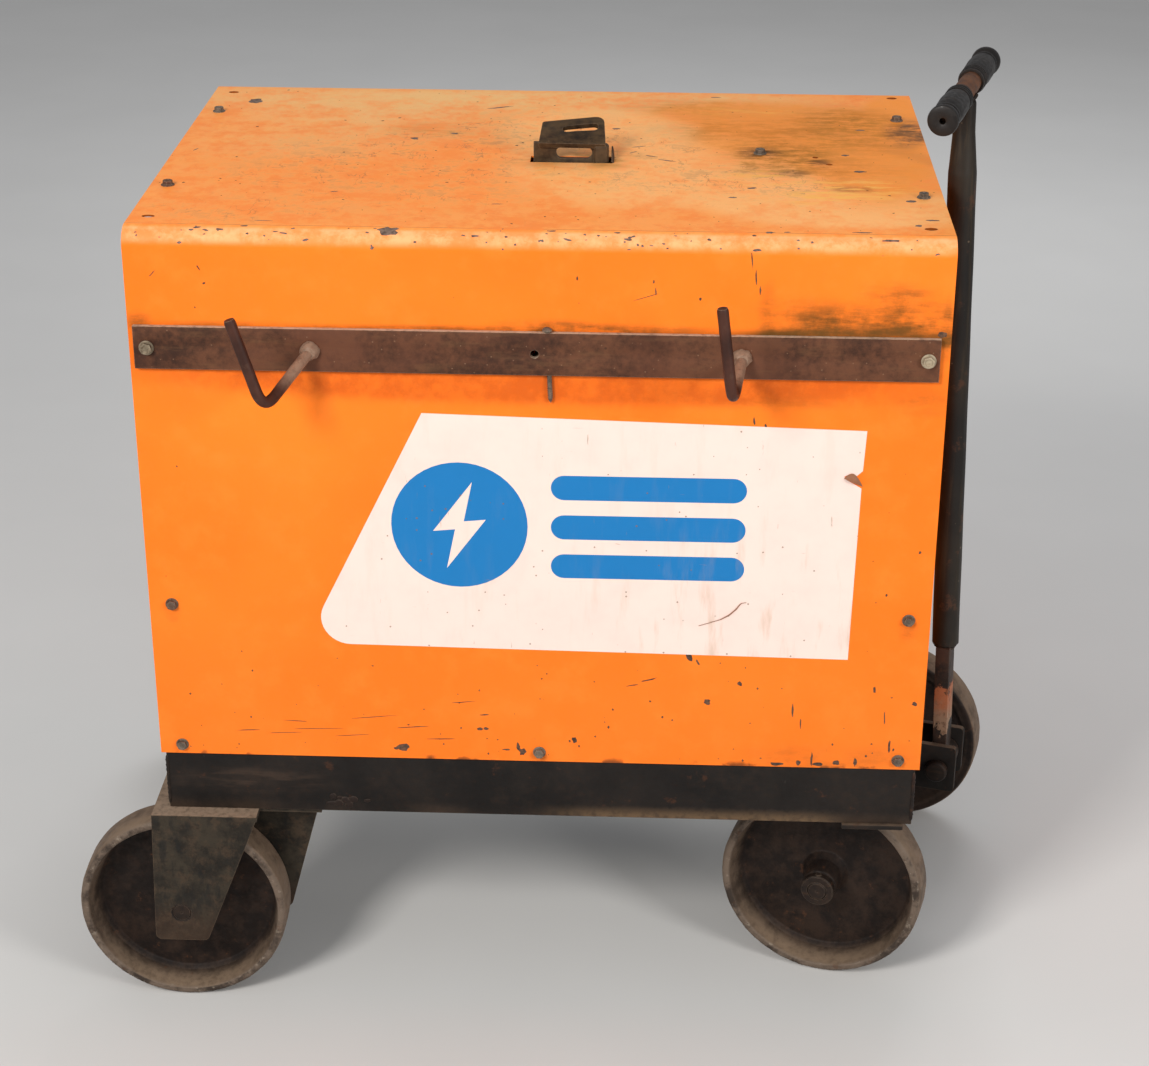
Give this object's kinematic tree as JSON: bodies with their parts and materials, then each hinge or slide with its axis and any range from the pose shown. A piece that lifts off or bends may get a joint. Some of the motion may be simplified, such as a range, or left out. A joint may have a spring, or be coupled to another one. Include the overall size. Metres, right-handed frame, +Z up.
{
  "type": "mig welder on cart",
  "caption": "Orange welding power source on a four-wheel cart with an upright T-handled steering tongue, a lifting eye and cable hooks.",
  "frame": {"origin": "on the floor under the middle of the whole object's box", "axes": "+X along the case from the control end to the steered wheels, +Y across it away from the side with the cable hooks, +Z up"},
  "size_m": [0.9226, 0.5978, 0.884],
  "materials": {
    "case_paint": "orange enamel, sun-faded and scratched",
    "panel_paint": "dark grey enamel",
    "frame_paint": "black chassis paint, dirty",
    "rusted_steel": "bare steel with a brown rust skin",
    "cast_iron": "worn grey-brown cast iron",
    "zinc_steel": "dull zinc plate",
    "grip_rubber": "moulded black-brown rubber",
    "core_steel": "varnished laminations",
    "varnished_copper": "varnished copper windings",
    "aluminium": "mill finish",
    "black_plastic": "moulded black",
    "insulating_board": "brown phenolic board",
    "clear_glass": "clear",
    "pointer_red": "red",
    "lamp_amber": "amber lens",
    "brass": "dull brass"
  },
  "bodies": {
    "cart": {"case_wrapper": "case_paint", "rear_panel": "case_paint", "front_panel": "panel_paint", "base_frame": "frame_paint", "floor_pan": "frame_paint", "lifting_frame": "frame_paint", "fixed_axle_saddle": "frame_paint", "steer_top_plate": "frame_paint", "fan_shroud": "frame_paint", "lifting_eye": "rusted_steel", "hook_strap": "rusted_steel", "cable_hook_left": "rusted_steel", "cable_hook_right": "rusted_steel", "fixed_axle": "cast_iron", "strap_bolt_left": "zinc_steel", "strap_bolt_right": "zinc_steel", "kingpin": "zinc_steel", "kingpin_nut": "zinc_steel", "control_receptacle": "zinc_steel", "transformer_core": "core_steel", "choke_core": "core_steel", "control_transformer": "core_steel", "coil_left": "varnished_copper", "coil_middle": "varnished_copper", "coil_right": "varnished_copper", "choke_coil": "varnished_copper", "rectifier_heatsink": "aluminium", "contactor_body": "black_plastic", "fan_motor": "black_plastic", "voltmeter_case": "black_plastic", "ammeter_case": "black_plastic", "power_switch_body": "black_plastic", "supply_gland": "black_plastic", "voltage_rheostat": "insulating_board", "output_terminal_board": "insulating_board", "voltmeter_glass": "clear_glass", "ammeter_glass": "clear_glass", "pilot_lamp": "lamp_amber", "output_stud_negative": "brass", "output_stud_positive": "brass"},
    "steering": {"steer_bolster": "frame_paint", "steer_axle": "cast_iron", "axle_collar_near": "cast_iron", "axle_collar_far": "cast_iron", "tongue_pin": "zinc_steel"},
    "tongue": {"tongue_foot": "rusted_steel", "tongue_tube": "rusted_steel", "tongue_crossbar": "rusted_steel", "grip_near": "grip_rubber", "grip_far": "grip_rubber"},
    "wheel_fixed_near": {"fixed_wheel_near": "cast_iron"},
    "wheel_fixed_far": {"fixed_wheel_far": "cast_iron"},
    "wheel_steer_near": {"steer_wheel_near": "cast_iron"},
    "wheel_steer_far": {"steer_wheel_far": "cast_iron"},
    "fan": {"fan_blade": "aluminium"},
    "knob": {"voltage_knob": "black_plastic"},
    "switch_lever": {"power_switch_lever": "zinc_steel"},
    "armature": {"contactor_armature": "core_steel"},
    "voltmeter_needle": {"voltmeter_pointer": "pointer_red"},
    "ammeter_needle": {"ammeter_pointer": "pointer_red"}
  },
  "joints": [
    {"name": "steering_yaw", "type": "hinge", "parent": "cart", "child": "steering", "pos_m": [0.31545, 0.0145, 0.2], "axis": [0, 0, 1], "range_deg": [-17, 49]},
    {"name": "tongue_pitch", "type": "hinge", "parent": "steering", "child": "tongue", "pos_m": [0.39764, -0.00907, 0.167], "axis": [0.2756, 0.9613, 0], "range_deg": [0, 88]},
    {"name": "fixed_wheel_near_roll", "type": "hinge", "parent": "cart", "child": "wheel_fixed_near", "pos_m": [-0.35975, -0.2014, 0.1015], "axis": [0, 1, 0], "continuous": true},
    {"name": "fixed_wheel_far_roll", "type": "hinge", "parent": "cart", "child": "wheel_fixed_far", "pos_m": [-0.35975, 0.2672, 0.1015], "axis": [0, 1, 0], "continuous": true},
    {"name": "steer_wheel_near_roll", "type": "hinge", "parent": "steering", "child": "wheel_steer_near", "pos_m": [0.27328, -0.13257, 0.1015], "axis": [0.2756, 0.9613, 0], "continuous": true},
    {"name": "steer_wheel_far_roll", "type": "hinge", "parent": "steering", "child": "wheel_steer_far", "pos_m": [0.35762, 0.16157, 0.1015], "axis": [0.2756, 0.9613, 0], "continuous": true},
    {"name": "fan_spin", "type": "hinge", "parent": "cart", "child": "fan", "pos_m": [0.28245, 0.0329, 0.5335], "axis": [1, 0, 0], "continuous": true},
    {"name": "voltage_knob_turn", "type": "hinge", "parent": "cart", "child": "knob", "pos_m": [-0.32855, 0.0329, 0.5735], "axis": [-1, 0, 0], "range_deg": [0, 270]},
    {"name": "power_switch_tip", "type": "hinge", "parent": "cart", "child": "switch_lever", "pos_m": [-0.34055, -0.0986, 0.5535], "axis": [0, 1, 0], "range_deg": [0, 40]},
    {"name": "contactor_pull", "type": "slide", "parent": "cart", "child": "armature", "axis": [0, 0, -1], "range_m": [0, 0.004], "stiffness_N_per_m": 200, "springref_m": -0.02},
    {"name": "voltmeter_sweep", "type": "hinge", "parent": "cart", "child": "voltmeter_needle", "pos_m": [-0.34985, 0.1314, 0.6815], "axis": [1, 0, 0], "range_deg": [0, 90], "stiffness_Nm_per_rad": 0.001, "springref_deg": -11.46},
    {"name": "ammeter_sweep", "type": "hinge", "parent": "cart", "child": "ammeter_needle", "pos_m": [-0.34985, -0.0686, 0.6815], "axis": [1, 0, 0], "range_deg": [0, 90], "stiffness_Nm_per_rad": 0.001, "springref_deg": -11.46}
  ]
}
